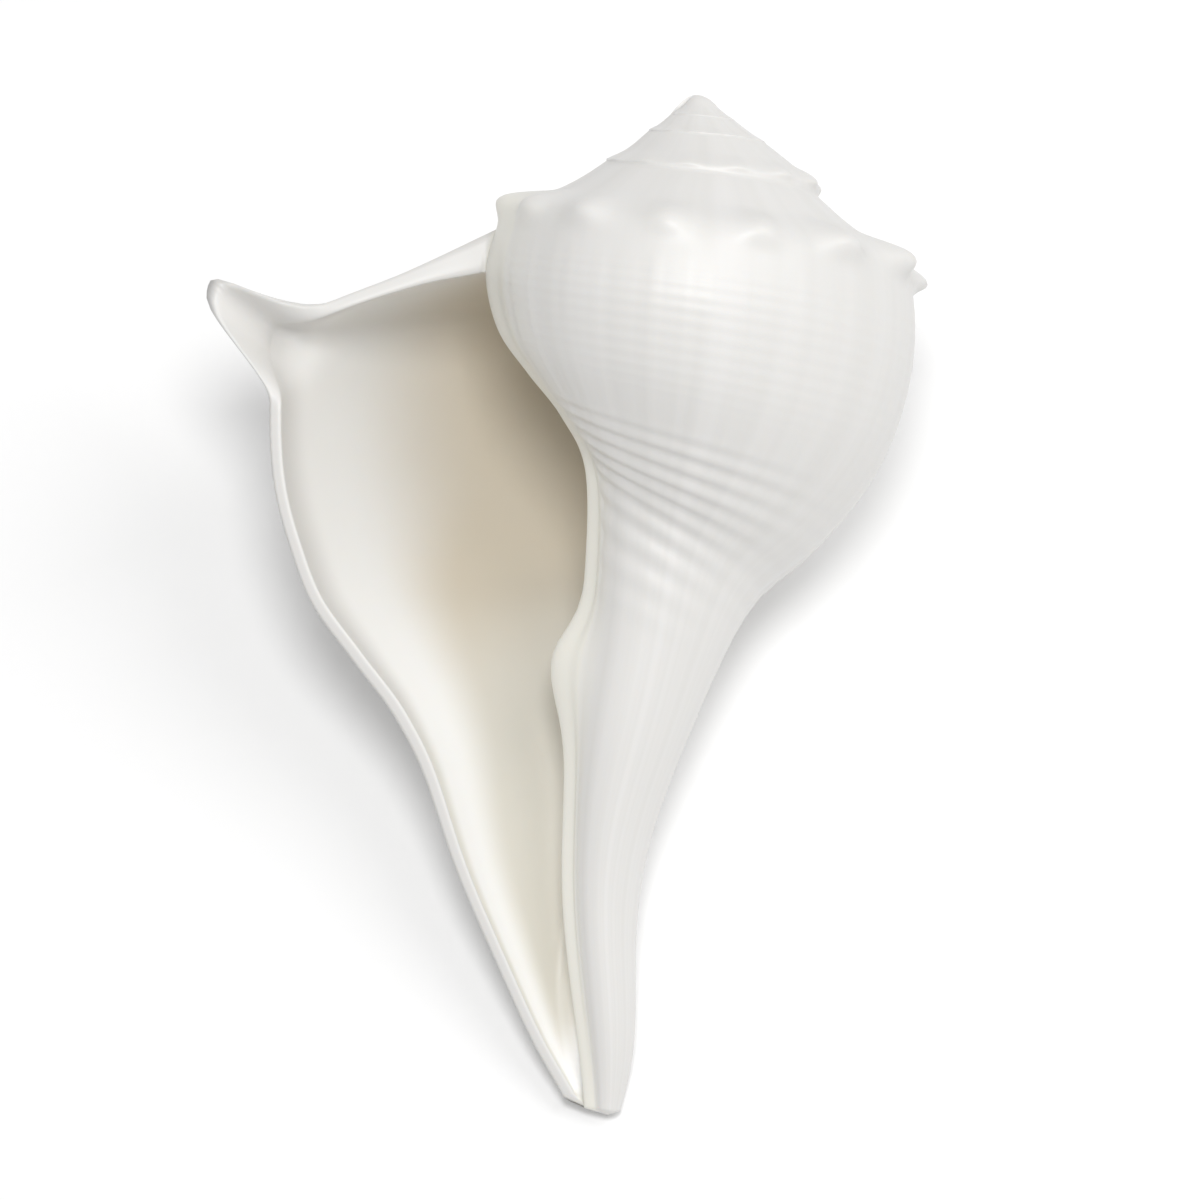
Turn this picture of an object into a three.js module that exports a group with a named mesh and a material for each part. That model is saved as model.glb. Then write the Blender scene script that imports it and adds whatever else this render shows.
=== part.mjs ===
// Conch shell (a left-handed whelk), grown as one piece. Millimetres, +Z up.
// It lies on its back: +Y runs along the axis to the apex, the mouth looks up.
//
// The whole wall follows one growth angle t, counted in turns: t = 0 is the lip,
// t = -1 the inner lip one turn before it, and so on back to the apex.
import * as THREE from 'three';
import * as BufferGeometryUtils from 'three/addons/utils/BufferGeometryUtils.js';

// ---- driving dimensions ----
const LENGTH = 205;              // apex to canal tip, along the axis
const WHORL_GROWTH = 1.82;       // size gained in one turn of the spire
const TURNS = 4;                 // turns from the apex to the lip
const LIP_FLARE = 2.0;           // how fast the last quarter turn opens outwards
const WALL = 2.4;                // shell wall and free edge of the lip
const SUTURE_WALL = 5.0;         // extra thickness where the lip meets the older whorl
const CAVITY_TURNS = 1.35;       // how far the hollow runs back from the lip
const SLIT = 0.9;                // least width of the hollow
const HOLLOW_TOP = 0.6;          // slope of the hollow's top, in millimetres down for each outline index

// outlines from the shoulder ramp to the canal tip, as [distance down the axis, radius]
const LIP_OUTLINE = [
  [40.3, 55], [51.5, 76], [61, 80], [73, 80], [86, 77.8], [97.5, 73.5], [108.5, 67.5],
  [119, 57.5], [130, 46.3], [143.5, 36.5], [166.5, 25.8], [189.6, 16.2], [202.5, 8.8],
];
const HALF_TURN_OUTLINE = [
  [25, 34.3], [30.8, 43.2], [37.3, 46], [50, 46.8], [64, 44.3], [76, 38.8], [87.5, 30],
  [98, 19.6], [113, 14], [136, 10], [165, 6.7], [190, 5], [204, 2.4],
];
const FULL_TURN_OUTLINE = [
  [20.6, 26.5], [24.8, 33.6], [30.5, 35.8], [40, 36.8], [50.5, 33.4], [58.5, 26.8], [66.5, 19.4],
  [77, 13.6], [98, 11.6], [122, 10.6], [150, 6.0], [182, 4.2], [204, 2.4],
];
const SHOULDER = 1;              // place of the shoulder in an outline
const ATTACH = 3;                // outline index that the next whorl is laid over
const LAST = 13;                 // outline index of the canal tip
const PILLAR_TOP = 6;            // from this point down, covered whorls are a solid pillar
const EARLY_ATTACH = [0.7, 0.1]; // how far below its shoulder each older whorl is overlaid
const LONGEST_TANGENT = 1.5;     // of the outline's curve, in steps between its points
const APEX_HEIGHT = -0.2;        // top of the rounded first whorl

const PILLAR = { tip: 1.4, swell: 6.6, power: 0.8, taper: 0.85 };
const CANAL_BEND = { size: 6, centre: 155, width: 33 };
const SPIRE_SHIFT = { size: -1.2, centre: 13, width: 7 };
const SPIRE_LEAN = 0.05;

const KNOBS = { perTurn: 13, index: 1.95, reach: 0.95, height: 0.11, up: 0.3, early: 0.1 };
const KNOB_DROOP = 2.2; // how far the knobs behind the mouth turn from up to down
const HORN = { index: 2.68, reach: 1.12, out: 15.2, up: 10.6, turns: 0.055, power: 1.5 };
const HORN_HOLLOW = { share: 0.3, power: 3 }; // the hollow's own, shallower flare into the horn
const HORN_SCOOP = { turns: 0.02, fade: 0.035 }; // how far the hollow's edge lies back in the horn
const CALLUS = { size: 2.4, from: -0.98, fade: 0.02, cornerTurns: 0.04 };
const FOLD = { size: 4.6, centre: 115, above: 8, below: 12, turns: 0.06 };

// lying pose, turned about the long axis and the cross axis, with worn flats where it touches
const ROLL_DEG = 6;
const PITCH_DEG = 21.2;
const WORN = 0.8;

// ---- mesh fineness ----
const STEPS_PER_TURN = 39;       // three to each knob
const RAMP_COLUMNS = [0, 0.6, 1.2, 1.6, 1.9, 2.2, 2.5, 2.75, 3];
const WALL_COLUMNS = [
  3.4, 3.93, 4.4, 4.9, 5.4, 5.9, 6.3, 6.8, 7.3, 7.8, 8.4, 9, 9.6, 10.3, 11, 11.9, 12.9, 13,
];
const COLUMNS = [...RAMP_COLUMNS, ...WALL_COLUMNS];
const RAMP_END = RAMP_COLUMNS.length - 1;
const FIRST_INNER = RAMP_END + 2; // the hollow starts this far under the suture
const LAST_INNER = COLUMNS.length - 2;

// ---- small helpers ----
const clamp01 = (x) => Math.min(1, Math.max(0, x));
const smooth = (a, b, x) => {
  const f = clamp01((x - a) / (b - a));
  return f * f * (3 - 2 * f);
};
const bell = (x, width) => Math.exp(-((x / width) ** 2));
const hump = (x, reach) => (Math.abs(x) < reach ? Math.cos((Math.PI * x) / (2 * reach)) ** 2 : 0);
const mix = (a, b, f) => a + (b - a) * f;

// ---- growth of the outline ----
function pillarRadius(h) {
  return PILLAR.tip + PILLAR.swell * clamp01(1 - h / LENGTH) ** PILLAR.power;
}

// an outline some whole turns before the last one: smaller, with its canal a solid pillar
function olderOutline(outline, turns, closeness) {
  const scale = WHORL_GROWTH ** -turns;
  const [topH, topR] = outline[PILLAR_TOP].map((v) => v * scale);
  const shoulder = outline[SHOULDER];
  return outline.map((point, i) => {
    const near = i === ATTACH - 1 ? closeness : 1;
    if (i <= PILLAR_TOP) return point.map((v, k) => mix(shoulder[k], v, near) * scale);
    const f = (i - PILLAR_TOP) / (outline.length - 1 - PILLAR_TOP);
    const down = mix(topH, LENGTH - 1, f ** 1.25);
    const easing = (topR - pillarRadius(topH)) * clamp01(1 - 3 * f) ** 2;
    return [down, pillarRadius(down) * PILLAR.taper ** (turns - 1) + easing];
  });
}

// outline at the half turn -halves / 2
function keyOutline(halves) {
  if (halves === 0) return LIP_OUTLINE;
  if (halves === 1) return HALF_TURN_OUTLINE;
  if (halves === 2) return FULL_TURN_OUTLINE;
  const turns = Math.floor((halves - 1) / 2);
  const closeness = EARLY_ATTACH[Math.min(halves - 3, 1)];
  return olderOutline(halves % 2 ? HALF_TURN_OUTLINE : FULL_TURN_OUTLINE, turns, closeness);
}

// control points at growth t, eased from one half turn to the next
function controlPoints(t) {
  const before = Math.max(1, Math.ceil(-t * 2));
  const f = t * 2 + before;
  const [p0, p1, p2] = [before + 1, before, before - 1].map(keyOutline);
  const p3 = before > 1 ? keyOutline(before - 2) : null;
  return p1.map((point, i) => point.map((v, k) => {
    const leave = (p2[i][k] - p0[i][k]) / 2;
    const arrive = p3 ? (p3[i][k] - v) / 2 : (p2[i][k] - v) * LIP_FLARE;
    const [f2, f3] = [f * f, f * f * f];
    return (2 * f3 - 3 * f2 + 1) * v + (f3 - 2 * f2 + f) * leave
      + (3 * f2 - 2 * f3) * p2[i][k] + (f3 - f2) * arrive;
  }));
}

// the outline with its suture, on the older whorl, as the first point
const outlineCache = new Map();
function outlineAt(t) {
  const name = t.toFixed(6);
  if (!outlineCache.has(name)) {
    const [h, r] = controlPoints(t - 1)[ATTACH - 1];
    const suture = [h, r + CALLUS.size * bell(t, CALLUS.cornerTurns)];
    outlineCache.set(name, [suture, ...controlPoints(t)]);
  }
  return outlineCache.get(name);
}

// direction from p to q, shortened where the chord is short, so that the curve doesn't overshoot
function easedTangent(p, q, chord) {
  const tangent = p.map((v, k) => (q[k] - v) / 2);
  const share = Math.min(1, (LONGEST_TANGENT * Math.hypot(...chord)) / Math.hypot(...tangent));
  return tangent.map((v) => v * share);
}

// smooth curve through the outline: where it is at index u, and its outward direction
function alongOutline(t, u) {
  const points = outlineAt(t);
  const i = Math.min(Math.floor(u), points.length - 2);
  const f = u - i;
  const b = points[i];
  const c = points[i + 1];
  const a = points[i - 1] ?? b.map((v, k) => 2 * v - c[k]);
  const d = points[i + 2] ?? c.map((v, k) => 2 * v - b[k]);
  const chord = b.map((v, k) => c[k] - v);
  const leave = easedTangent(a, c, chord);
  const arrive = easedTangent(b, d, chord);
  const square = chord.map((v, k) => 3 * v - 2 * leave[k] - arrive[k]);
  const cube = chord.map((v, k) => leave[k] + arrive[k] - 2 * v);
  const at = b.map((v, k) => v + f * leave[k] + f * f * square[k] + f ** 3 * cube[k]);
  const slope = leave.map((v, k) => v + 2 * f * square[k] + 3 * f * f * cube[k]);
  const size = Math.hypot(...slope);
  return { at, outward: [-slope[1] / size, slope[0] / size] };
}

// ---- relief ----
// the horn that the last knob grows into at the lip; a high power keeps it close to the lip
function hornShift(t, u, power) {
  const bump = hump(u - HORN.index, HORN.reach);
  const horn = clamp01(1 + t / HORN.turns) ** power * bump * bump * (3 - 2 * bump);
  return [-HORN.up * horn, HORN.out * horn];
}

// knobs on the shoulder, weaker on the spire and facing the viewer, fading out before the horn
function knobShift(t, u) {
  const shoulder = outlineAt(t)[SHOULDER + 1];
  const phase = 0.5 + 0.5 * Math.cos(2 * Math.PI * KNOBS.perTurn * t);
  const low = mix(KNOBS.early, 0.7, smooth(-2, -1.1, t)) + 0.45 * smooth(-0.75, -0.5, t)
    - 0.28 * bell(t + 0.75, 0.16);
  const fade = smooth(-HORN.turns, -2.5 * HORN.turns, t);
  const size = fade * KNOBS.height * low * shoulder[1] * phase ** 1.5;
  const knob = size * hump(u - KNOBS.index, KNOBS.reach);
  const up = KNOBS.up * (1 - KNOB_DROOP * smooth(-0.6, -0.4, t));
  return [-up * knob, knob];
}

// glaze laid over the older whorl inside the mouth, with a fold low on the pillar
function callusShift(t, u, h) {
  const laid = smooth(CALLUS.from + CALLUS.fade, CALLUS.from - CALLUS.fade, t);
  const below = smooth(ATTACH, ATTACH + 1, u) * smooth(LAST, LAST - 2, u);
  const spread = h < FOLD.centre ? FOLD.above : FOLD.below;
  const fold = FOLD.size * bell(h - FOLD.centre, spread) * bell(t + 1, FOLD.turns);
  const corner = bell(t + 1, CALLUS.cornerTurns) * smooth(1, ATTACH - 0.8, u) * (1 - below);
  return CALLUS.size * (laid * below + corner) + fold;
}

function outerPoint(t, u) {
  const { at } = alongOutline(t, u);
  const knob = knobShift(t, u);
  const horn = hornShift(t, u, HORN.power);
  return [at[0] + knob[0] + horn[0], at[1] + knob[1] + horn[1] + callusShift(t, u, at[0])];
}

// ---- the hollow ----
function wallThickness(t, u) {
  const size = mix(0.7, 1, smooth(-1, -0.1, t));
  return WALL * size + SUTURE_WALL * size * bell(u, 0.8) * mix(0.4, 1, smooth(-0.3, 0, t));
}

// lowest outline index that the hollow reaches, closing up the canal away from the lip
function hollowEnd(t) {
  const lip = COLUMNS[LAST_INNER];
  if (t > -0.25) return mix(11.0, lip, (t + 0.25) / 0.25);
  if (t > -0.5) return mix(9.6, 11.0, (t + 0.5) / 0.25);
  if (t > -1) return mix(7.2, 9.6, (t + 1) / 0.5);
  return mix(6.4, 7.2, (t + CAVITY_TURNS) / (CAVITY_TURNS - 1));
}

// inner side of the hollow: the older whorl, from just under the suture down
function innerSide(t) {
  const first = COLUMNS[FIRST_INNER];
  const last = COLUMNS[LAST_INNER];
  const stretch = (hollowEnd(t) - first) / (last - first);
  return COLUMNS.slice(FIRST_INNER, LAST_INNER + 1)
    .map((u) => outerPoint(t - 1, first + (u - first) * stretch));
}

function radiusAt(side, h) {
  const i = side.findIndex((p) => p[0] >= h);
  if (i <= 0) return i === 0 ? side[0][1] : side.at(-1)[1];
  const [a, b] = [side[i - 1], side[i]];
  return mix(a[1], b[1], (h - a[0]) / (b[0] - a[0]));
}

// outer side of the hollow: the outline moved in by the wall, kept clear of the inner side
function outerSide(t, inner) {
  const bottom = inner.at(-1)[0];
  let end = LAST;
  while (alongOutline(t, end).at[0] > bottom + 0.3 && end > ATTACH) end -= 0.05;
  const last = COLUMNS[LAST_INNER];
  return COLUMNS.slice(1, LAST_INNER + 1).map((column) => {
    const u = Math.min(column * end / last, end);
    const { at, outward } = alongOutline(t, u);
    const wall = wallThickness(t, u);
    const horn = hornShift(t, u, HORN_HOLLOW.power);
    const [h, r] = at.map((v, k) => v + HORN_HOLLOW.share * horn[k] - outward[k] * wall);
    const down = Math.min(Math.max(h, inner[0][0] + HOLLOW_TOP * u), bottom);
    return [down, Math.max(r, radiusAt(inner, down) + SLIT)];
  });
}

// growth angle on the hollow's outer side, laid back where the horn is scooped out
function scooped(t, u) {
  return t - HORN_SCOOP.turns * hump(u - HORN.index, HORN.reach) * Math.exp(t / HORN_SCOOP.fade);
}

// ---- placing in space ----
function place(t, [h, r]) {
  const angle = 2 * Math.PI * t;
  const early = smooth(32, 20, r) * smooth(35, 25, h);
  const shift = CANAL_BEND.size * bell(h - CANAL_BEND.centre, CANAL_BEND.width)
    + SPIRE_SHIFT.size * bell(h - SPIRE_SHIFT.centre, SPIRE_SHIFT.width);
  const left = r * Math.cos(angle) + shift;
  const lean = SPIRE_LEAN * early * r * Math.cos(angle);
  return new THREE.Vector3(-left, -(h + lean), r * Math.sin(angle));
}

// ---- mesh building ----
const positions = [];
const triangles = [];

function addPoint(v) {
  positions.push(v.x, v.y, v.z);
  return positions.length / 3 - 1;
}

function addTriangle(a, b, c) {
  if (a !== b && b !== c && c !== a) triangles.push(a, c, b);
}

// sheet of quads between neighbouring rows of point numbers
function addSheet(rows, flip = false) {
  for (let i = 0; i + 1 < rows.length; i += 1) {
    for (let j = 0; j + 1 < Math.min(rows[i].length, rows[i + 1].length); j += 1) {
      const [a, b, c, d] = [rows[i][j], rows[i + 1][j], rows[i + 1][j + 1], rows[i][j + 1]];
      if (flip) {
        addTriangle(a, c, b);
        addTriangle(a, d, c);
      } else {
        addTriangle(a, b, c);
        addTriangle(a, c, d);
      }
    }
  }
}

// triangles between two lines of point numbers of different counts
function addBridge(line, other, flip = false) {
  let [i, j] = [0, 0];
  while (i + 1 < line.length || j + 1 < other.length) {
    const alongLine = (i + 1) / (line.length - 1);
    const alongOther = (j + 1) / (other.length - 1);
    const useLine = j + 1 >= other.length || (i + 1 < line.length && alongLine <= alongOther);
    const third = useLine ? line[i + 1] : other[j + 1];
    if (flip) addTriangle(line[i], third, other[j]);
    else addTriangle(line[i], other[j], third);
    if (useLine) i += 1;
    else j += 1;
  }
}

function addFan(centre, loop, flip = false) {
  for (let i = 0; i + 1 < loop.length; i += 1) {
    if (flip) addTriangle(centre, loop[i + 1], loop[i]);
    else addTriangle(centre, loop[i], loop[i + 1]);
  }
}

// the rounded first whorl, over the loop where the spiral starts
function addDome(loop) {
  const edge = loop.map((n) => positions.slice(3 * n, 3 * n + 3));
  const centre = edge.reduce((sum, p) => sum.map((v, k) => v + p[k] / edge.length), [0, 0, 0]);
  centre[1] = APEX_HEIGHT;
  const ring = edge.slice(0, -1).map((p) => {
    const [x, z] = [mix(centre[0], p[0], 0.5), mix(centre[2], p[2], 0.5)];
    return addPoint(new THREE.Vector3(x, mix(APEX_HEIGHT, p[1], 0.25), z));
  });
  ring.push(ring[0]);
  addSheet([loop, ring]);
  addFan(addPoint(new THREE.Vector3(...centre)), ring, true);
}

// the outside: ramps of the spire, then the whole last turn, closed at the apex and the tip
function addOutside() {
  const rows = [];
  const count = TURNS * STEPS_PER_TURN;
  for (let k = 0; k <= count; k += 1) {
    const t = k / STEPS_PER_TURN - TURNS;
    const columns = t < -1 - 1e-9 ? RAMP_COLUMNS : COLUMNS;
    const start = k - STEPS_PER_TURN;
    rows.push(columns.map((u, j) => {
      if (j === 0 && start >= 0) return rows[start][RAMP_END];
      return addPoint(place(t, outerPoint(t, u)));
    }));
  }
  addSheet(rows);
  const apexLoop = [...rows[0]].reverse();
  for (let k = 1; k <= STEPS_PER_TURN; k += 1) apexLoop.push(rows[k][0]);
  addDome(apexLoop);
  const lastTurn = rows.slice(count - STEPS_PER_TURN);
  const tipLoop = lastTurn.map((row) => row.at(-1));
  addFan(addPoint(place(0, [LENGTH, 0])), [...tipLoop, tipLoop[0]]);
  return lastTurn;
}

// the hollow, from the lip back up the whorl to its blind end
function addHollow(innerLip) {
  const innerRows = [];
  const outerRows = [];
  const count = Math.round(CAVITY_TURNS * STEPS_PER_TURN);
  for (let k = 0; k <= count; k += 1) {
    const t = -k / STEPS_PER_TURN;
    const inner = innerSide(t);
    const outer = outerSide(t, inner);
    const atLip = innerLip.slice(FIRST_INNER, LAST_INNER + 1);
    innerRows.push(k === 0 ? atLip : inner.map((p) => addPoint(place(t, p))));
    outerRows.push(outer.map((p, j) => addPoint(place(scooped(t, COLUMNS[j + 1]), p))));
  }
  addSheet(innerRows, true);
  addSheet(outerRows);
  addSheet(innerRows.map((row, i) => [outerRows[i][0], row[0]]), true);
  addSheet(innerRows.map((row, i) => [row.at(-1), outerRows[i].at(-1)]), true);
  addBridge(innerRows.at(-1), outerRows.at(-1), true);
  return outerRows[0];
}

// the edge face of the lip, round the mouth
function addLip(outerLip, innerLip, hollowLip) {
  addSheet([outerLip.slice(1, -1), hollowLip]);
  addFan(outerLip[0], [...innerLip.slice(RAMP_END + 1, FIRST_INNER + 1), hollowLip[0], outerLip[1]]);
  const corner = [outerLip.at(-1), outerLip.at(-2), hollowLip.at(-1), innerLip[LAST_INNER]];
  addFan(innerLip.at(-1), corner.reverse(), true);
}

function buildShell() {
  const lastTurn = addOutside();
  const hollowLip = addHollow(lastTurn[0]);
  addLip(lastTurn.at(-1), lastTurn[0], hollowLip);
  const geometry = new THREE.BufferGeometry();
  geometry.setAttribute('position', new THREE.Float32BufferAttribute(positions, 3));
  geometry.setIndex(triangles);
  return BufferGeometryUtils.mergeVertices(geometry, 1e-3);
}

// turn into the lying pose, set down with the middle of the footprint at the origin,
// and wear the touching places flat on z = 0
function layDown(geometry) {
  geometry.rotateY(THREE.MathUtils.degToRad(ROLL_DEG));
  geometry.rotateX(THREE.MathUtils.degToRad(PITCH_DEG));
  geometry.computeBoundingBox();
  const { min, max } = geometry.boundingBox;
  geometry.translate(-(min.x + max.x) / 2, -(min.y + max.y) / 2, -min.z - WORN);
  const place = geometry.attributes.position;
  for (let i = 0; i < place.count; i += 1) place.setZ(i, Math.max(0, place.getZ(i)));
  return geometry;
}

const group = new THREE.Group();
group.name = 'conch_shell';
const shellMaterial = new THREE.MeshStandardMaterial({ color: 0xe9e7e2, roughness: 0.35, metalness: 0 });
const shell = new THREE.Mesh(layDown(buildShell()), shellMaterial);
shell.name = 'shell';
group.add(shell);

export default group;
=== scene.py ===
"""Looks for the conch shell: a fine mesh grown by the CAD solid's rule, its finish, floor and light.

Shell space is in millimetres: x to the left, y out of the mouth, h down the axis from the apex. The growth
angle t is counted in turns, with t = 0 at the lip and t = -1 at the inner lip, one turn before it.
"""

import math

import bpy
import numpy as np
from mathutils import Matrix, Vector


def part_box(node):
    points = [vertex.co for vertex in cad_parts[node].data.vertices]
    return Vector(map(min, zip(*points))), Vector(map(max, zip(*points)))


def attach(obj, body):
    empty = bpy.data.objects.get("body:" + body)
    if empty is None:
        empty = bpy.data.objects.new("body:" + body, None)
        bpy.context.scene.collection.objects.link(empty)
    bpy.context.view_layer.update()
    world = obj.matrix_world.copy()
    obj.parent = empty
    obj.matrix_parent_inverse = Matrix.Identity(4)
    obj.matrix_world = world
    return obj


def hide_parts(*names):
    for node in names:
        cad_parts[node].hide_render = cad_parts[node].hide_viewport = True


# ---- growth, as in the CAD solid ----
LENGTH = 205.0                       # apex to canal tip, along the axis
WHORL_GROWTH = 1.82                  # size gained in one turn of the spire
TURNS = 4                            # turns from the apex to the lip
LIP_FLARE = 2.0                      # how fast the last half turn opens outwards
WALL = 2.4                           # shell wall and free edge of the lip
SUTURE_WALL = 5.0                    # extra thickness where the lip meets the older whorl
CAVITY_TURNS = 1.35                  # how far the hollow runs back from the lip
SLIT = 0.9                           # least width of the hollow
HOLLOW_TOP = 0.6                     # slope of the hollow's top, down for each outline index
EARLY_WALL = 0.7                     # wall one turn back, as a share of the wall at the lip
SUTURE_SPREAD, EARLY_SUTURE = 0.8, 0.4   # the suture wall's reach, and its share back from the lip
HOLLOW_STEP = 0.3                    # how far the hollow's outer side may reach below its inner side
# lowest outline index that the hollow reaches, at some growth angles before the lip
HOLLOW_ENDS = ((-CAVITY_TURNS, 6.4), (-1.0, 7.2), (-0.5, 9.6), (-0.25, 11.0))
# outlines from the shoulder ramp to the canal tip, as (distance down the axis, radius)
LIP_OUTLINE = (
    (40.3, 55), (51.5, 76), (61, 80), (73, 80), (86, 77.8), (97.5, 73.5), (108.5, 67.5),
    (119, 57.5), (130, 46.3), (143.5, 36.5), (166.5, 25.8), (189.6, 16.2), (202.5, 8.8),
)
HALF_TURN_OUTLINE = (
    (25, 34.3), (30.8, 43.2), (37.3, 46), (50, 46.8), (64, 44.3), (76, 38.8), (87.5, 30),
    (98, 19.6), (113, 14), (136, 10), (165, 6.7), (190, 5), (204, 2.4),
)
FULL_TURN_OUTLINE = (
    (20.6, 26.5), (24.8, 33.6), (30.5, 35.8), (40, 36.8), (50.5, 33.4), (58.5, 26.8), (66.5, 19.4),
    (77, 13.6), (98, 11.6), (122, 10.6), (150, 6.0), (182, 4.2), (204, 2.4),
)
SHOULDER = 1                         # place of the shoulder in an outline
ATTACH = 3                           # outline index that the next whorl is laid over
LAST = 13                            # outline index of the canal tip
APEX_HEIGHT = -0.2                   # top of the rounded first whorl
PILLAR_TOP = 6                       # from this point down, covered whorls are a solid pillar
PILLAR_EASING, PILLAR_SPREAD = 3, 1.25   # how soon and how evenly the pillar takes over
EARLY_ATTACH = (0.7, 0.1)            # how far below its shoulder each older whorl is overlaid
PILLAR_TIP, PILLAR_SWELL, PILLAR_POWER, PILLAR_TAPER = 1.4, 6.6, 0.8, 0.85
CANAL_BEND = (6.0, 155.0, 33.0)      # sideways shift, where, over what length
SPIRE_SHIFT = (-1.2, 13.0, 7.0)
SPIRE_LEAN = 0.05                    # slope of the spire's whorls across the axis
SPIRE_RADIUS, SPIRE_HEIGHT = (32, 20), (35, 25)   # where the lean fades out and is full
LONGEST_TANGENT = 1.5                # of the outline's curve, in steps between its points

# ---- relief: heights in millimetres, the knobs' as a share of the shoulder's radius ----
KNOBS_PER_TURN = 13
KNOB_INDEX, KNOB_REACH, KNOB_HEIGHT, KNOB_UP = 1.95, 0.95, 0.11, 0.3
KNOB_SHARPNESS = 1.5
EARLY_KNOBS, MAIN_KNOBS = 0.1, 0.7   # height kept by the knobs of the spire and of the last whorl
KNOB_START = (-2.0, -1.1)            # growth over which the knobs gain that height
BACK_KNOBS, BACK_START = 0.45, (-0.75, -0.5)   # height gained by the knobs behind the mouth
FRONT, FRONT_KNOBS, FRONT_SPREAD = -0.75, 0.28, 0.16   # growth, height lost and spread beside the mouth
KNOB_DROOP, DROOP_START = 2.2, (-0.6, -0.4)   # those behind the mouth turn from up to down
HORN_INDEX, HORN_REACH, HORN_OUT, HORN_UP, HORN_TURNS = 2.68, 1.12, 15.2, 10.6, 0.055
HORN_POWER = 1.5
HORN_HOLLOW, HORN_HOLLOW_POWER = 0.3, 3.0   # the hollow's own, shallower flare into the horn
HORN_SCOOP, HORN_SCOOP_FADE = 0.02, 0.035   # turns by which the hollow's edge lies back in the horn
CALLUS, CALLUS_EDGE, CALLUS_FADE, CALLUS_CORNER = 2.4, -0.98, 0.02, 0.04
CALLUS_TOP = 2.2                     # outline index where the callus at the suture is full
GLAZE, GLAZE_EDGE, GLAZE_FADE = 0.3, -0.94, 0.01   # thin outer layer of the callus
FOLD_SIZE, FOLD_CENTRE, FOLD_TURNS = 4.6, 115.0, 0.06
FOLD_ABOVE, FOLD_BELOW = 8.0, 12.0
# relief bands: the outline indexes where each starts, is full, starts to fade and ends
CORD_HEIGHT, CORDS_PER_INDEX, CORD_BAND = 0.3, 3.1, (5.9, 6.6, 7.8, 9.5)
THREAD_HEIGHT, THREADS_PER_INDEX, THREAD_BAND = 0.035, 5.0, (3.2, 3.6, 4.6, 6)
LINE_HEIGHT, LINE_BAND = 0.05, (2.8, 3.6, 6, 9)
LINE_WAVES = ((41, 0.0), (67, 1.3))  # growth lines: waves in a turn, and phase
BACK_CORDS, BACK_CORDS_END = 0.15, (-0.54, -0.74)   # height kept by the cords behind the mouth
LIP_SMOOTH = (-0.02, -0.15)          # growth over which the cords rise from the smooth lip

# ---- lying pose, as in the CAD solid ----
ROLL = math.radians(6)               # about the long axis
PITCH = math.radians(21.2)           # about the cross axis
WORN = 0.8                           # depth of the flats where it touches

# ---- mesh fineness ----
STEPS = 208                          # rows in one turn
HOLLOW_STRIDE = 2                    # the hollow takes every second row
RAMP_COLUMNS = 24                    # columns down the outline, in its four stretches
THREAD_COLUMNS = 84
CORD_COLUMNS = 84
CANAL_COLUMNS = 40
TIP_WALL = 0.025                     # share of the last outline step left under the canal
THREADS_END, CORDS_END = 6.0, 9.2    # outline indexes where the finer columns end
SUTURE_COLUMNS = 26                  # columns between the suture and the top of the hollow
THINNED = 3                          # inside, only every third column is kept
DOME_RINGS = 5
RIM_POINTS = 6
RIM_RISE = 0.35                      # rise of the lip's inner edge, as a share of the wall
RIM_WALL = 1.2 * WALL                # thickest wall that the rise grows with
RIM_FULLNESS = 6                     # a high power keeps the rim full up to its inner edge

# ---- finish ----
CANAL_SHADE_SOONER, CANAL_SHADE_SOONER_BAND = 1.7, (6, 10)   # painted shade: how much sooner the tan sets in along the canal's trough
CANAL_SHADE_BAND = (7, 11)                     # outline indexes over which the hollow turns from tan to a grey-olive painted shade in the canal
CREAM_START = (0.5, 2.5)             # outline indexes over which the cream glaze, and the stain and painted shade beside it, set in
STAIN_AND_SHADE, STAIN_AND_SHADE_EDGE = 0.55, (-0.84, -0.93)   # faint cream stain outside the inner lip, partly painted shade on the body there
ROUGHNESS = 0.42
GLOW, GLOW_COLOUR, GLOW_DEPTH = 0.12, (1.0, 0.8, 0.6), 0.002   # light scattered under the surface
STREAKS, STREAK_DETAIL = 26, 3       # streaks along the growth lines
GREY_STREAK, WHITE_STREAK = (0.705, 0.695, 0.67), (0.785, 0.775, 0.76)
CREAM = (0.81, 0.795, 0.73)
# the white inside the lip, brighter than outside: partly painted light on its shaded inner wall
PORCELAIN_AND_LIGHT = (0.97, 0.965, 0.945)
# tan deep in the mouth, and a grey-olive painted shade for the canal's trough
TAN, CANAL_SHADE = (0.78, 0.71, 0.585), (0.76, 0.735, 0.66)
PORCELAIN_AND_LIGHT_DEPTH, TAN_DEPTH = (0.0, 0.03), (0.05, 0.15)   # in turns back from the lip, where the brighter white (partly painted light) and the tan set in
FLOOR_WHITE, FLOOR_ROUGHNESS, FLOOR_SIZE = (0.97, 0.97, 0.97), 0.8, 6

# ---- picture ----
PICTURE_TILT = math.radians(5)       # the apex leans to the right in the picture
VIEW_WIDTH = 240.0                   # millimetres of shell space across the picture
VIEW_CENTRE = (-20.0, -101.2)        # picture centre from the apex, right and up, in millimetres
CAMERA_DISTANCE = 1.6
SENSOR_WIDTH = 36
SKY = 0.5
# lights: power, size, and place to the right, up and back from the shell
KEY_LIGHT = (4.5, 0.9, (0.7, 0.6, 0.9))
FRONT_LIGHT = (7.5, 0.4, (0.0, 0.35, 1.25))


def clamp01(x):
    return np.clip(x, 0.0, 1.0)


def smooth(a, b, x):
    f = clamp01((x - a) / (b - a))
    return f * f * (3 - 2 * f)


def bell(x, width):
    return np.exp(-((x / width) ** 2))


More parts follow.
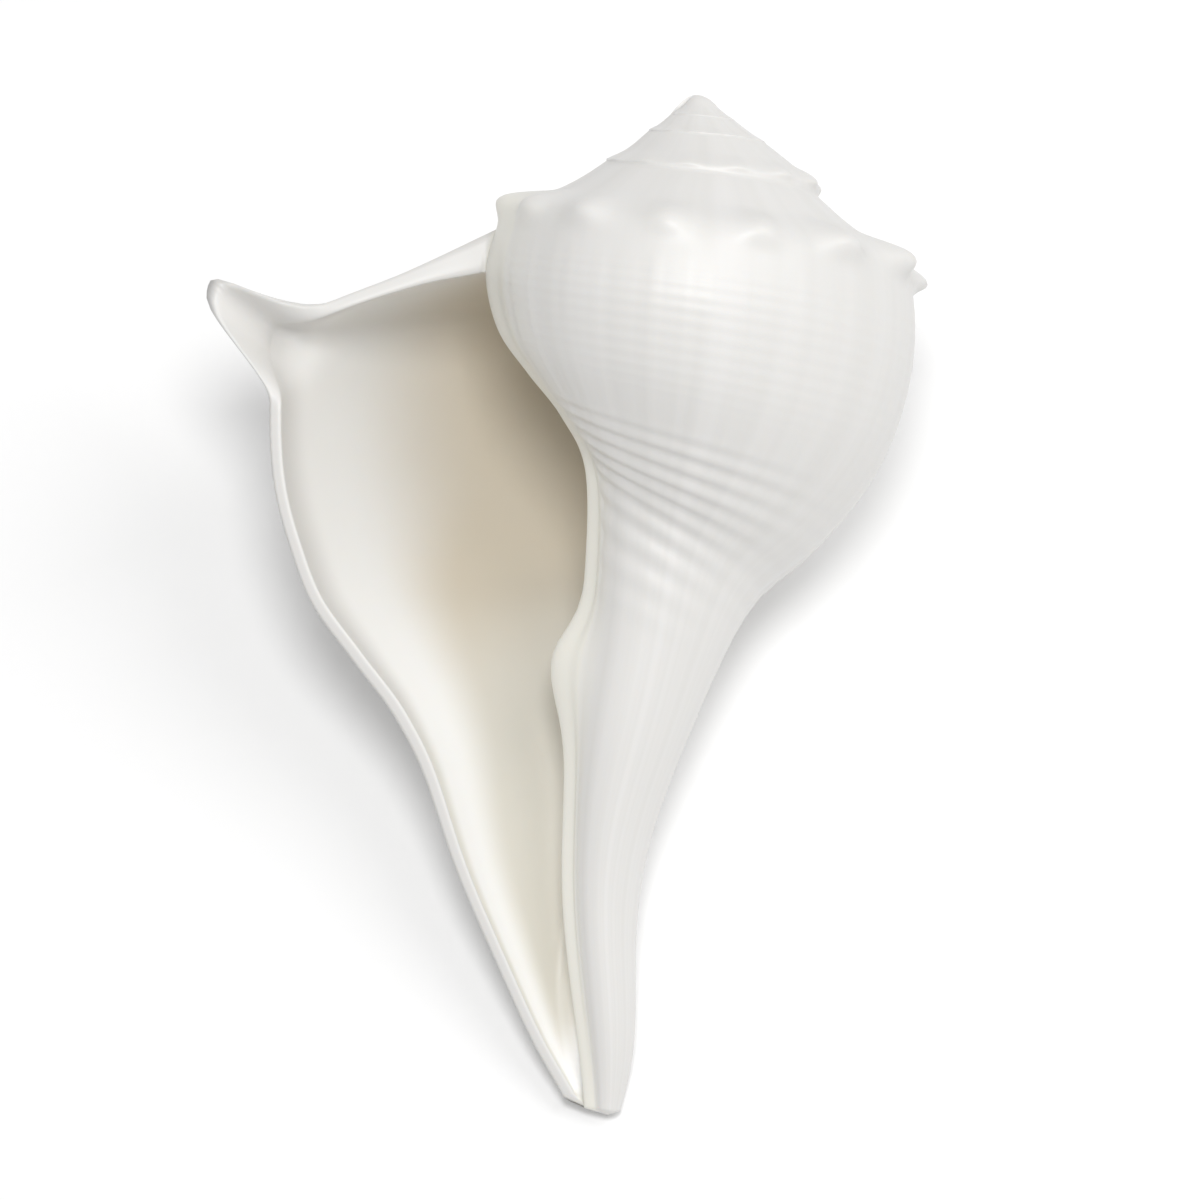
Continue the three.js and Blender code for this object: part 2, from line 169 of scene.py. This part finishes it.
def hump(x, reach):
    return np.where(np.abs(x) < reach, np.cos(np.pi * np.clip(x / reach, -1, 1) / 2) ** 2, 0.0)


def mix(a, b, f):
    return a + (b - a) * f


def band(u, start, full, fade, end):
    """1 from full to fade, and 0 before start and past end."""
    return smooth(start, full, u) * smooth(end, fade, u)


# ---- outline at any growth angle ----
def pillar_radius(h):
    return PILLAR_TIP + PILLAR_SWELL * clamp01(1 - h / LENGTH) ** PILLAR_POWER


def older_outline(outline, turns, closeness):
    """The outline some whole turns before: smaller, with its canal a solid pillar."""
    older = np.array(outline, float)
    older[ATTACH - 1] = mix(older[SHOULDER], older[ATTACH - 1], closeness)
    older *= WHORL_GROWTH**-turns
    top_h, top_r = older[PILLAR_TOP]
    for i in range(PILLAR_TOP + 1, len(older)):
        f = (i - PILLAR_TOP) / (len(older) - 1 - PILLAR_TOP)
        h = mix(top_h, LENGTH - 1, f**PILLAR_SPREAD)
        easing = (top_r - pillar_radius(top_h)) * max(0.0, 1 - PILLAR_EASING * f) ** 2
        older[i] = h, pillar_radius(h) * PILLAR_TAPER ** (turns - 1) + easing
    return older


def key_outline(halves):
    """The outline at growth -halves / 2."""
    if halves <= 2:
        return np.array((LIP_OUTLINE, HALF_TURN_OUTLINE, FULL_TURN_OUTLINE)[halves], float)
    closeness = EARLY_ATTACH[min(halves - 3, 1)]
    shape = HALF_TURN_OUTLINE if halves % 2 else FULL_TURN_OUTLINE
    return older_outline(shape, (halves - 1) // 2, closeness)


def control_points(t):
    """Control points at growth t, eased from one half turn to the next."""
    before = max(1, math.ceil(-t * 2 - 1e-9))
    f = t * 2 + before
    start, end = key_outline(before), key_outline(before - 1)
    leave = (end - key_outline(before + 1)) / 2
    arrive = (key_outline(before - 2) - start) / 2 if before > 1 else (end - start) * LIP_FLARE
    f2, f3 = f * f, f**3
    return ((2 * f3 - 3 * f2 + 1) * start + (f3 - 2 * f2 + f) * leave
            + (3 * f2 - 2 * f3) * end + (f3 - f2) * arrive)


def outline_at(t):
    """The outline with its suture, on the older whorl, as the first point."""
    suture = control_points(t - 1)[ATTACH - 1] + (0, CALLUS * bell(t, CALLUS_CORNER))
    return np.vstack([suture, control_points(t)])


def along(points, u):
    """Smooth curve through the points: where it is at index u, and its outward direction."""
    ends = np.vstack([2 * points[0] - points[1], points, 2 * points[-1] - points[-2]])
    i = np.clip(np.floor(u).astype(int), 0, len(points) - 2)
    f = (u - i)[:, None]
    a, b, c, d = ends[i], ends[i + 1], ends[i + 2], ends[i + 3]
    chord = c - b
    leave, arrive = eased((c - a) / 2, chord), eased((d - b) / 2, chord)
    at = b + f * leave + f**2 * (3 * chord - 2 * leave - arrive) + f**3 * (leave + arrive - 2 * chord)
    slope = leave + 2 * f * (3 * chord - 2 * leave - arrive) + 3 * f**2 * (leave + arrive - 2 * chord)
    slope /= np.linalg.norm(slope, axis=1)[:, None]
    return at, np.stack([-slope[:, 1], slope[:, 0]], 1)


def eased(tangent, chord):
    """The tangent, shortened where its two points are close, so that the curve doesn't overshoot."""
    longest = LONGEST_TANGENT * np.linalg.norm(chord, axis=1) / np.linalg.norm(tangent, axis=1)
    return tangent * np.minimum(1, longest)[:, None]


# ---- relief on the outline ----
def horn_shift(t, u, power):
    """The horn that the last knob grows into at the lip; a high power keeps it close to the lip."""
    bump = hump(u - HORN_INDEX, HORN_REACH)
    horn = max(0.0, 1 + t / HORN_TURNS) ** power * bump * bump * (3 - 2 * bump)
    return np.stack([-HORN_UP * horn, HORN_OUT * horn], 1)


def knob_shift(t, u, shoulder_radius):
    """Knobs on the shoulder, fading out before the horn."""
    phase = 0.5 + 0.5 * math.cos(2 * math.pi * KNOBS_PER_TURN * t)
    height = mix(EARLY_KNOBS, MAIN_KNOBS, smooth(*KNOB_START, t)) + BACK_KNOBS * smooth(*BACK_START, t)
    height -= FRONT_KNOBS * bell(t - FRONT, FRONT_SPREAD)
    height *= smooth(-HORN_TURNS, -2.5 * HORN_TURNS, t) * KNOB_HEIGHT * shoulder_radius
    knob = height * phase**KNOB_SHARPNESS * hump(u - KNOB_INDEX, KNOB_REACH)
    up = KNOB_UP * (1 - KNOB_DROOP * smooth(*DROOP_START, t))
    return np.stack([-up * knob, knob], 1)


def callus_laid(t):
    """1 where the glaze of the inner lip covers the older whorl, 0 outside it."""
    return smooth(CALLUS_EDGE + CALLUS_FADE, CALLUS_EDGE - CALLUS_FADE, t)


def glaze_laid(t):
    """1 where the thin outer layer of the callus covers the older whorl."""
    return smooth(GLAZE_EDGE + GLAZE_FADE, GLAZE_EDGE - GLAZE_FADE, t)


def callus_shift(t, u, h):
    """Glaze laid over the older whorl inside the mouth, with a fold low on the pillar."""
    below = smooth(ATTACH, ATTACH + 1, u) * smooth(LAST, LAST - 2, u)
    corner = bell(t + 1, CALLUS_CORNER) * smooth(SHOULDER, CALLUS_TOP, u) * (1 - below)
    spread = np.where(h < FOLD_CENTRE, FOLD_ABOVE, FOLD_BELOW)
    fold = FOLD_SIZE * bell(h - FOLD_CENTRE, spread) * bell(t + 1, FOLD_TURNS)
    return CALLUS * (callus_laid(t) * below + corner) + GLAZE * glaze_laid(t) * below + fold


def fine_relief(t, u):
    """Spiral cords low on the whorl, finer threads above them, and faint growth lines."""
    cords = CORD_HEIGHT * band(u, *CORD_BAND) * np.cos(2 * np.pi * CORDS_PER_INDEX * u)
    cords *= mix(BACK_CORDS, 1, smooth(*BACK_CORDS_END, t)) * smooth(*LIP_SMOOTH, t)
    threads = THREAD_HEIGHT * band(u, *THREAD_BAND) * np.cos(2 * np.pi * THREADS_PER_INDEX * u)
    waves = sum(math.sin(2 * math.pi * count * t + phase) for count, phase in LINE_WAVES)
    lines = LINE_HEIGHT * waves * band(u, *LINE_BAND)
    return (cords + threads + lines) * (1 - glaze_laid(t))


def outer_points(t, u):
    """The shell's surface at growth t, as (distance down the axis, radius)."""
    points = outline_at(t)
    at, outward = along(points, u)
    shifted = at + knob_shift(t, u, points[SHOULDER + 1, 1]) + horn_shift(t, u, HORN_POWER)
    shifted[:, 1] += callus_shift(t, u, at[:, 0])
    return shifted + outward * fine_relief(t, u)[:, None]


# ---- columns down the outline ----
COLUMNS = np.concatenate([
    np.linspace(0, ATTACH, RAMP_COLUMNS, endpoint=False),
    np.linspace(ATTACH, THREADS_END, THREAD_COLUMNS, endpoint=False),
    np.linspace(THREADS_END, CORDS_END, CORD_COLUMNS, endpoint=False),
    np.linspace(CORDS_END, LAST - TIP_WALL, CANAL_COLUMNS),
    [LAST],
])
RAMP_END = RAMP_COLUMNS
FIRST_INNER = RAMP_END + SUTURE_COLUMNS
LAST_INNER = len(COLUMNS) - 2


# ---- the hollow ----
def wall_thickness(t, u):
    """Wall between the hollow and the outside, thicker at the suture."""
    size = mix(EARLY_WALL, 1, smooth(-1, -0.1, t))
    suture = SUTURE_WALL * bell(u, SUTURE_SPREAD) * mix(EARLY_SUTURE, 1, smooth(-0.3, 0, t))
    return size * (WALL + suture)


def hollow_end(t):
    """Lowest outline index that the hollow reaches: the canal closes up away from the lip."""
    growth, reach = zip(*HOLLOW_ENDS, (0.0, COLUMNS[LAST_INNER]))
    return np.interp(t, growth, reach)


def inner_side(t, columns):
    """Inner side of the hollow: the older whorl, from under the suture down."""
    first, last = COLUMNS[FIRST_INNER], COLUMNS[LAST_INNER]
    stretch = (hollow_end(t) - first) / (last - first)
    return outer_points(t - 1, first + (columns - first) * stretch)


def scooped(t, columns):
    """Growth angles of the hollow's outer side, laid back where the horn is scooped out."""
    return t - HORN_SCOOP * hump(columns - HORN_INDEX, HORN_REACH) * math.exp(t / HORN_SCOOP_FADE)


def outer_side(t, columns, inner):
    """Outer side of the hollow: the outline moved in by the wall, kept clear of the inner side."""
    bottom = inner[-1, 0]
    outline = outline_at(t)
    tries = np.linspace(ATTACH, LAST, 400)
    reached = tries[along(outline, tries)[0][:, 0] <= bottom + HOLLOW_STEP]
    end = reached[-1] if len(reached) else ATTACH
    u = np.minimum(columns * end / COLUMNS[LAST_INNER], end)
    at, outward = along(outline, u)
    moved = at + HORN_HOLLOW * horn_shift(t, u, HORN_HOLLOW_POWER)
    moved = moved - outward * wall_thickness(t, u)[:, None]
    down = np.minimum(np.maximum(moved[:, 0], inner[0, 0] + HOLLOW_TOP * u), bottom)
    order = np.argsort(inner[:, 0])
    clear = np.interp(down, inner[order, 0], inner[order, 1]) + SLIT
    return np.stack([down, np.maximum(moved[:, 1], clear)], 1)


# ---- shell space to millimetres in the lying shell's own axes ----
def place(t, points):
    """Points of the outline, turned to growth t; the canal bends and the spire leans a little."""
    h, r = points[:, 0], points[:, 1]
    angle = 2 * np.pi * t
    early = smooth(*SPIRE_RADIUS, r) * smooth(*SPIRE_HEIGHT, h)
    shift = sum(size * bell(h - centre, width) for size, centre, width in (CANAL_BEND, SPIRE_SHIFT))
    lean = SPIRE_LEAN * early * r * np.cos(angle)
    return np.stack([-(r * np.cos(angle) + shift), -(h + lean), r * np.sin(angle)], 1)


class MeshMaker:
    """Collects points, with their finish values, and faces."""

    def __init__(self):
        self.points = []
        self.finish = []
        self.faces = []
        self.count = 0

    def add(self, points, depth, glaze_and_shade, growth=0.0):
        numbers = list(range(self.count, self.count + len(points)))
        self.points.append(np.asarray(points, float).reshape(-1, 3))
        values = np.broadcast_arrays(depth, glaze_and_shade, growth, np.zeros(len(points)))[:3]
        self.finish.append(np.stack(values, 1))
        self.count += len(points)
        return numbers

    def face(self, *corners):
        kept = [c for i, c in enumerate(corners) if c != corners[i - 1]]
        if len(kept) > 2:
            self.faces.append(kept)

    def sheet(self, rows, flip=False):
        """Quads between neighbouring rows of point numbers."""
        for low, high in zip(rows, rows[1:]):
            width = min(len(low), len(high))
            for j in range(width - 1):
                quad = (low[j], low[j + 1], high[j + 1], high[j])
                self.face(*(quad[::-1] if flip else quad))

    def bridge(self, line, other, flip=False):
        """Triangles between two lines of different counts."""
        i = j = 0
        while i + 1 < len(line) or j + 1 < len(other):
            ahead = (i + 1) / (len(line) - 1) <= (j + 1) / (len(other) - 1)
            use_line = j + 1 >= len(other) or (i + 1 < len(line) and ahead)
            third = line[i + 1] if use_line else other[j + 1]
            corners = (line[i], third, other[j])
            self.face(*(corners[::-1] if flip else corners))
            if use_line:
                i += 1
            else:
                j += 1

    def fan(self, centre, loop, flip=False):
        for a, b in zip(loop, loop[1:]):
            self.face(*((centre, b, a) if flip else (centre, a, b)))


def add_dome(maker, loop):
    """The rounded first whorl, over the loop where the spiral starts."""
    edge = np.vstack(maker.points)[loop]
    centre = edge.mean(0)
    rings = [loop]
    for k in range(1, DOME_RINGS):
        f = 1 - k / DOME_RINGS
        ring = mix(centre, edge, f)
        ring[:, 1] = mix(APEX_HEIGHT, edge[:, 1], f**2)
        ring[-1] = ring[0]
        numbers = maker.add(ring[:-1], 0.0, 0.0)
        rings.append(numbers + numbers[:1])
    maker.sheet(rings)
    top = maker.add([(centre[0], APEX_HEIGHT, centre[2])], 0.0, 0.0)[0]
    maker.fan(top, rings[-1])


def add_outside(maker):
    """Ramps of the spire, then the whole last turn, closed at the apex and the canal tip."""
    rows = []
    for k in range(TURNS * STEPS + 1):
        t = k / STEPS - TURNS
        columns = COLUMNS[:RAMP_END + 1] if k < (TURNS - 1) * STEPS else COLUMNS
        points = place(t, outer_points(t, columns))
        shared = [rows[k - STEPS][RAMP_END]] if k >= STEPS else []
        on_last_turn = k >= (TURNS - 1) * STEPS
        # beside the inner lip a faint cream stain, partly painted shade, joins the glaze
        glaze_stain_and_shade = max(glaze_laid(t), STAIN_AND_SHADE * smooth(*STAIN_AND_SHADE_EDGE, t)) if on_last_turn else 0.0
        glaze_and_shade = glaze_stain_and_shade * smooth(*CREAM_START, columns)
        rows.append(shared + maker.add(points[len(shared):], 0.0, glaze_and_shade[len(shared):], t))
    maker.sheet(rows)
    add_dome(maker, rows[0][::-1] + [row[0] for row in rows[1:STEPS + 1]])
    last_turn = rows[(TURNS - 1) * STEPS:]
    tip_loop = [row[-1] for row in last_turn]
    tip = maker.add(place(0, np.array([(LENGTH, 0.0)])), 0.0, 0.0)[0]
    maker.fan(tip, tip_loop + tip_loop[:1], flip=True)
    return last_turn


def add_hollow(maker, inner_lip):
    """The hollow, from the lip back up the whorl to its blind end."""
    inner_all = COLUMNS[FIRST_INNER:LAST_INNER + 1]
    outer_all = COLUMNS[1:LAST_INNER + 1]
    inner_some = np.append(inner_all[:-1:THINNED], inner_all[-1])
    outer_some = np.append(outer_all[:-1:THINNED], outer_all[-1])
    inner_rows, outer_rows = [], []
    for k in range(round(CAVITY_TURNS * STEPS / HOLLOW_STRIDE) + 1):
        t = -k * HOLLOW_STRIDE / STEPS
        inner_columns, outer_columns = (inner_all, outer_all) if k == 0 else (inner_some, outer_some)
        inner = inner_side(t, inner_columns)
        outer = outer_side(t, outer_columns, inner)
        if k == 0:
            inner_rows.append(inner_lip[FIRST_INNER:LAST_INNER + 1])
        else:
            inner_rows.append(maker.add(place(t, inner), -t, 1.0))
        # painted shade: along the canal the tan sets in sooner and turns grey-olive
        depth = -t * mix(1, CANAL_SHADE_SOONER, smooth(*CANAL_SHADE_SOONER_BAND, outer_columns))
        glaze_and_shade = smooth(*CANAL_SHADE_BAND, outer_columns)
        outer_rows.append(maker.add(place(scooped(t, outer_columns), outer), depth, glaze_and_shade))
    for rows, flip in ((inner_rows, True), (outer_rows, False)):
        maker.bridge(rows[0], rows[1], flip=flip)
        maker.sheet(rows[1:], flip=flip)
    top = [[outer[0], inner[0]] for inner, outer in zip(inner_rows, outer_rows)]
    bottom = [[inner[-1], outer[-1]] for inner, outer in zip(inner_rows, outer_rows)]
    maker.sheet(top, flip=True)
    maker.sheet(bottom, flip=True)
    maker.bridge(inner_rows[-1], outer_rows[-1], flip=True)
    return outer_rows[0]


def add_lip(maker, outer_lip, inner_lip, hollow_lip):
    """The rounded edge of the lip, round the mouth."""
    points = np.vstack(maker.points)
    outer = outer_lip[1:LAST_INNER + 1]
    start, end = points[outer], points[hollow_lip]
    thickness = np.linalg.norm(end - start, axis=1)[:, None]
    lines = [outer]
    for k in range(1, RIM_POINTS + 1):
        f = math.sin(math.pi / 2 * k / (RIM_POINTS + 1))
        rise = RIM_RISE * f * math.sqrt(1 - f**RIM_FULLNESS) * np.minimum(thickness, RIM_WALL)
        lines.append(maker.add(mix(start, end, f) + rise * np.array([0, 0, 1.0]), 0.0, 0.0))
    lines.append(hollow_lip)
    maker.sheet(lines)
    top = [line[0] for line in lines]
    maker.bridge(inner_lip[RAMP_END:FIRST_INNER + 1], top, flip=True)
    bottom = [line[-1] for line in lines][::-1] + outer_lip[LAST_INNER + 1:]
    maker.bridge(inner_lip[LAST_INNER:], bottom, flip=True)


def lying_matrix(points, box):
    """From the shell's own axes to the row frame: turned, fitted to the CAD box and set down."""
    turn = Matrix.Rotation(PITCH, 3, "X") @ Matrix.Rotation(ROLL, 3, "Y")
    turned = points @ np.array(turn).T
    low, high = turned.min(0), turned.max(0)
    box_low, box_high = (np.array(corner) for corner in box)
    height = high[2] - low[2] - WORN
    room = (box_high - box_low) / np.array([high[0] - low[0], high[1] - low[1], height])
    scale = float(min(room))
    centre = (box_low + box_high) / 2
    shift = [centre[0] - scale * (low[0] + high[0]) / 2, centre[1] - scale * (low[1] + high[1]) / 2,
             box_low[2] - scale * (low[2] + WORN)]
    return Matrix.Translation(shift) @ (turn * scale).to_4x4()


def make_shell(box):
    """The shell as one mesh, with its finish values stored at its points."""
    maker = MeshMaker()
    last_turn = add_outside(maker)
    hollow_lip = add_hollow(maker, last_turn[0])
    add_lip(maker, last_turn[-1], last_turn[0], hollow_lip)
    points = np.vstack(maker.points)
    lying = lying_matrix(points, box)
    placed = points @ np.array(lying)[:3, :3].T + np.array(lying)[:3, 3]
    placed[:, 2] = np.maximum(placed[:, 2], box[0][2])
    mesh = bpy.data.meshes.new("shell_skin")
    mesh.from_pydata(placed.tolist(), [], maker.faces)
    finish = np.vstack(maker.finish)
    for i, name in enumerate(("depth", "glaze_and_shade", "growth")):
        values = mesh.attributes.new(name, "FLOAT", "POINT")
        values.data.foreach_set("value", finish[:, i].astype(np.float32))
    mesh.shade_smooth()
    shell = bpy.data.objects.new("shell_skin", mesh)
    bpy.context.collection.objects.link(shell)
    return shell, lying


# ---- finish ----
def shell_material():
    """White porcelain outside, cream glaze on the inner lip with a faint stain beside it, partly painted
    shade; inside the lip a brighter white, partly painted light; tan in the depth of the mouth, turning
    along the canal to a grey-olive painted shade.
    """
    material = bpy.data.materials.new("shell_porcelain")
    material.use_nodes = True
    nodes, links = material.node_tree.nodes, material.node_tree.links
    shader = nodes["Principled BSDF"]
    shader.inputs["Roughness"].default_value = ROUGHNESS
    shader.inputs["Subsurface Weight"].default_value = GLOW
    shader.inputs["Subsurface Radius"].default_value = GLOW_COLOUR
    shader.inputs["Subsurface Scale"].default_value = GLOW_DEPTH

    def attribute(name, low, high):
        source = nodes.new("ShaderNodeAttribute")
        source.attribute_name = name
        ramp = nodes.new("ShaderNodeMapRange")
        ramp.interpolation_type = "SMOOTHSTEP"
        ramp.inputs["From Min"].default_value = low
        ramp.inputs["From Max"].default_value = high
        links.new(source.outputs["Fac"], ramp.inputs["Value"])
        return ramp.outputs["Result"]

    def blend(factor, first, second):
        node = nodes.new("ShaderNodeMix")
        node.data_type = "RGBA"
        links.new(factor, node.inputs["Factor"])
        for socket, value in (("A", first), ("B", second)):
            colour = [s for s in node.inputs if s.name == socket and s.type == "RGBA"][0]
            if isinstance(value, tuple):
                colour.default_value = (*value, 1.0)
            else:
                links.new(value, colour)
        return [s for s in node.outputs if s.type == "RGBA"][0]

    growth = nodes.new("ShaderNodeAttribute")
    growth.attribute_name = "growth"
    streaks = nodes.new("ShaderNodeTexNoise")
    streaks.noise_dimensions = "1D"
    streaks.inputs["Scale"].default_value = STREAKS
    streaks.inputs["Detail"].default_value = STREAK_DETAIL
    links.new(growth.outputs["Fac"], streaks.inputs["W"])
    banded = blend(streaks.outputs["Fac"], GREY_STREAK, WHITE_STREAK)
    # cream glaze, and the faint stain beside it that is partly painted shade
    outside = blend(attribute("glaze_and_shade", 0.2, 1.0), banded, CREAM)
    # brighter white inside the lip, partly painted light
    porcelain_and_light = blend(attribute("depth", *PORCELAIN_AND_LIGHT_DEPTH), outside, PORCELAIN_AND_LIGHT)
    # tan deep in the mouth, grey-olive painted shade along the canal
    deep = blend(attribute("glaze_and_shade", 0.0, 1.0), TAN, CANAL_SHADE)
    colour = blend(attribute("depth", *TAN_DEPTH), porcelain_and_light, deep)
    links.new(colour, shader.inputs["Base Color"])
    return material


def plain_material(name, colour, roughness):
    material = bpy.data.materials.new(name)
    material.use_nodes = True
    shader = material.node_tree.nodes["Principled BSDF"]
    shader.inputs["Base Color"].default_value = (*colour, 1.0)
    shader.inputs["Roughness"].default_value = roughness
    return material


# ---- studio ----
def make_floor():
    bpy.ops.mesh.primitive_plane_add(size=FLOOR_SIZE)
    floor = bpy.context.object
    floor.name = "floor"
    floor.data.materials.append(plain_material("floor_white", FLOOR_WHITE, FLOOR_ROUGHNESS))
    return floor


def add_light(name, energy, size, position, target):
    """A round area light that faces the target."""
    data = bpy.data.lights.new(name, "AREA")
    data.energy = energy
    data.shape = "DISK"
    data.size = size
    light = bpy.data.objects.new(name, data)
    bpy.context.collection.objects.link(light)
    light.location = position
    light.rotation_euler = (position - target).to_track_quat("Z", "Y").to_euler()


def make_camera(lying):
    """Looks straight down into the mouth, square to the shell's axis."""
    turn = lying.to_3x3().normalized()
    right = turn @ Vector((math.cos(PICTURE_TILT), math.sin(PICTURE_TILT), 0))
    up = turn @ Vector((-math.sin(PICTURE_TILT), math.cos(PICTURE_TILT), 0))
    back = right.cross(up)
    scale = lying.median_scale
    centre = lying.translation + (VIEW_CENTRE[0] * right + VIEW_CENTRE[1] * up) * scale
    data = bpy.data.cameras.new("camera")
    data.sensor_width = SENSOR_WIDTH
    data.lens = data.sensor_width * CAMERA_DISTANCE / (VIEW_WIDTH * scale)
    camera = bpy.data.objects.new("camera", data)
    bpy.context.collection.objects.link(camera)
    axes = Matrix((right, up, back)).transposed().to_4x4()
    camera.matrix_world = Matrix.Translation(centre + back * CAMERA_DISTANCE) @ axes
    bpy.context.scene.camera = camera
    return right, up, back, centre


def light_studio(right, up, back, centre):
    """An even white sky, a large soft key light and a front light near the camera."""
    world = bpy.data.worlds.new("studio")
    bpy.context.scene.world = world
    world.use_nodes = True
    background = world.node_tree.nodes["Background"]
    background.inputs["Color"].default_value = (1, 1, 1, 1)
    background.inputs["Strength"].default_value = SKY
    for name, (energy, size, offset) in (("key", KEY_LIGHT), ("front", FRONT_LIGHT)):
        position = centre + right * offset[0] + up * offset[1] + back * offset[2]
        add_light(name, energy, size, position, centre)
    bpy.context.scene.view_settings.view_transform = "Standard"


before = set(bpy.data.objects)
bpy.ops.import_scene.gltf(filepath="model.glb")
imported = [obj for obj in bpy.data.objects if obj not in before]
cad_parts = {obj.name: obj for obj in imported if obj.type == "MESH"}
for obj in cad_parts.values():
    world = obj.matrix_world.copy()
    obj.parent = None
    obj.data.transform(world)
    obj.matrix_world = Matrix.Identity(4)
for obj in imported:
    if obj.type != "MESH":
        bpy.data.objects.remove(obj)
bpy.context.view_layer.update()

shell, lying = make_shell(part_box("shell"))
shell.data.materials.append(shell_material())
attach(shell, "root")
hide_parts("shell")

make_floor()
light_studio(*make_camera(lying))
